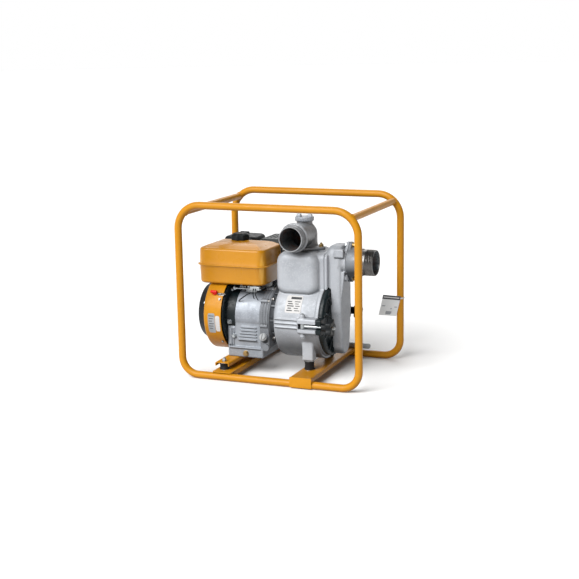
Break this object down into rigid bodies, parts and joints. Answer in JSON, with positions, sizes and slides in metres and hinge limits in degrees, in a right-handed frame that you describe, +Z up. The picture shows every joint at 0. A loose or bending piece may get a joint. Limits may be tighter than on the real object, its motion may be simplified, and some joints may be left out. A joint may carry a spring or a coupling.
{
  "type": "engine-driven portable fire pump",
  "caption": "Tube-framed portable pump set: small air-cooled engine driving a self-priming centrifugal pump with hinged clamp cover, suction duct and discharge elbow.",
  "frame": {"origin": "centre of the footprint of the tube frame, on the floor", "axes": "+X towards the suction port, -Y towards the discharge port, +Z up"},
  "size_m": [0.6699, 0.4864, 0.6107],
  "materials": {
    "yellow_paint": "gloss orange-yellow enamel",
    "cast_aluminium": "as-cast, painted silver grey",
    "black_enamel": "satin black enamel",
    "zinc_steel": "zinc plated",
    "dark_steel": "turned and oiled",
    "machined_steel": "machined",
    "brass": "turned",
    "cast_iron": "as-cast",
    "black_plastic": "moulded",
    "pale_plastic": "moulded, light grey",
    "red_plastic": "moulded",
    "white_ceramic": "glazed insulator",
    "rubber": "moulded",
    "filter_paper": "pleated",
    "tag_laminate": "laminated card, blank",
    "polished_steel": "polished exhaust can"
  },
  "bodies": {
    "pump_set": {"frame_front_loop": "yellow_paint", "frame_rear_loop": "yellow_paint", "cross_tube_left": "yellow_paint", "cross_tube_right": "yellow_paint", "pump_rail": "yellow_paint", "engine_rail": "yellow_paint", "engine_bracket": "yellow_paint", "engine_mount_front": "rubber", "engine_mount_rear": "rubber", "pump_mount_front": "rubber", "pump_mount_rear": "rubber", "rear_stop_bar": "zinc_steel", "info_tag": "tag_laminate", "engine_block": "cast_aluminium", "pto_cover": "cast_aluminium", "oil_drain_bolt": "brass", "cylinder_head": "cast_aluminium", "rocker_cover": "zinc_steel", "spark_plug": "white_ceramic", "ignition_lead": "rubber", "blower_housing": "yellow_paint", "blower_backplate": "black_enamel", "recoil_cover": "black_plastic", "fuel_tank": "yellow_paint", "tank_stand": "black_enamel", "carburettor": "cast_aluminium", "fuel_hose": "rubber", "air_cleaner_base": "black_plastic", "air_cleaner_cover": "black_plastic", "air_filter_element": "filter_paper", "muffler": "polished_steel", "muffler_guard": "black_enamel", "control_plate": "zinc_steel", "pump_casing": "cast_aluminium", "casing_drain_plug": "brass", "pump_adaptor": "cast_aluminium", "shaft_seal": "dark_steel", "volute": "cast_iron", "casing_cover": "black_enamel", "suction_duct": "cast_aluminium", "suction_flange": "cast_aluminium", "suction_nipple": "dark_steel", "discharge_elbow": "cast_aluminium", "clamp_bolt_front": "zinc_steel", "clamp_bolt_rear": "zinc_steel"},
    "rotor": {"crankshaft": "machined_steel", "flywheel": "cast_iron", "impeller": "cast_iron"},
    "starter_pulley": {"starter_pulley": "black_plastic"},
    "recoil_grip": {"recoil_grip": "black_plastic"},
    "fuel_cap": {"fuel_cap": "black_plastic"},
    "priming_cap": {"priming_cap": "cast_aluminium"},
    "hand_knob_front": {"hand_knob_front": "black_plastic"},
    "hand_knob_rear": {"hand_knob_rear": "black_plastic"},
    "oil_plug": {"oil_plug": "pale_plastic"},
    "throttle_lever": {"throttle_lever": "zinc_steel"},
    "choke_lever": {"choke_lever": "black_plastic"},
    "fuel_cock_lever": {"fuel_cock_lever": "black_plastic"},
    "stop_switch": {"stop_switch": "red_plastic"},
    "check_valve": {"check_valve": "rubber"}
  },
  "joints": [
    {"name": "crank_spin", "type": "hinge", "parent": "pump_set", "child": "rotor", "pos_m": [0, -0.04, 0.2], "axis": [1, 0, 0], "continuous": true},
    {"name": "recoil_pull", "type": "slide", "parent": "pump_set", "child": "recoil_grip", "axis": [0, 1, 0], "range_m": [0, 0.12], "stiffness_N_per_m": 60, "springref_m": -0.04},
    {"name": "starter_pulley_turn", "type": "hinge", "parent": "pump_set", "child": "starter_pulley", "pos_m": [-0.285, -0.04, 0.2], "axis": [-1, 0, 0], "range_deg": [0, 133]},
    {"name": "fuel_cap_turn", "type": "hinge", "parent": "pump_set", "child": "fuel_cap", "pos_m": [-0.19, -0.012, 0.46], "axis": [0, 0, 1], "range_deg": [0, 90]},
    {"name": "priming_cap_turn", "type": "hinge", "parent": "pump_set", "child": "priming_cap", "pos_m": [0.064, -0.04, 0.54], "axis": [0, 0, 1], "continuous": true},
    {"name": "front_knob_turn", "type": "hinge", "parent": "pump_set", "child": "hand_knob_front", "pos_m": [0.195, -0.18, 0.2], "axis": [1, 0, 0], "continuous": true},
    {"name": "rear_knob_turn", "type": "hinge", "parent": "pump_set", "child": "hand_knob_rear", "pos_m": [0.195, 0.1, 0.2], "axis": [1, 0, 0], "continuous": true},
    {"name": "oil_plug_turn", "type": "hinge", "parent": "pump_set", "child": "oil_plug", "pos_m": [-0.054, -0.1393, 0.139], "axis": [0, -0.866, 0.5], "continuous": true},
    {"name": "throttle_swing", "type": "hinge", "parent": "pump_set", "child": "throttle_lever", "pos_m": [-0.138, -0.104, 0.2975], "axis": [0, 0, 1], "range_deg": [0, 35]},
    {"name": "choke_swing", "type": "hinge", "parent": "pump_set", "child": "choke_lever", "pos_m": [-0.2271, 0.1163, 0.305], "axis": [1, 0, 0], "range_deg": [-60, 0]},
    {"name": "fuel_cock_swing", "type": "hinge", "parent": "pump_set", "child": "fuel_cock_lever", "pos_m": [-0.2271, 0.1163, 0.283], "axis": [1, 0, 0], "range_deg": [0, 90]},
    {"name": "stop_switch_turn", "type": "hinge", "parent": "pump_set", "child": "stop_switch", "pos_m": [-0.232, -0.141, 0.282], "axis": [0, -0.776, 0.6307], "range_deg": [0, 60]},
    {"name": "check_valve_swing", "type": "hinge", "parent": "pump_set", "child": "check_valve", "pos_m": [0.218, -0.04, 0.434], "axis": [0, 1, 0], "range_deg": [0, 35]}
  ],
  "couplings": [
    {"joint": "starter_pulley_turn", "follows": "recoil_pull", "rad_per_m": 19.231}
  ]
}
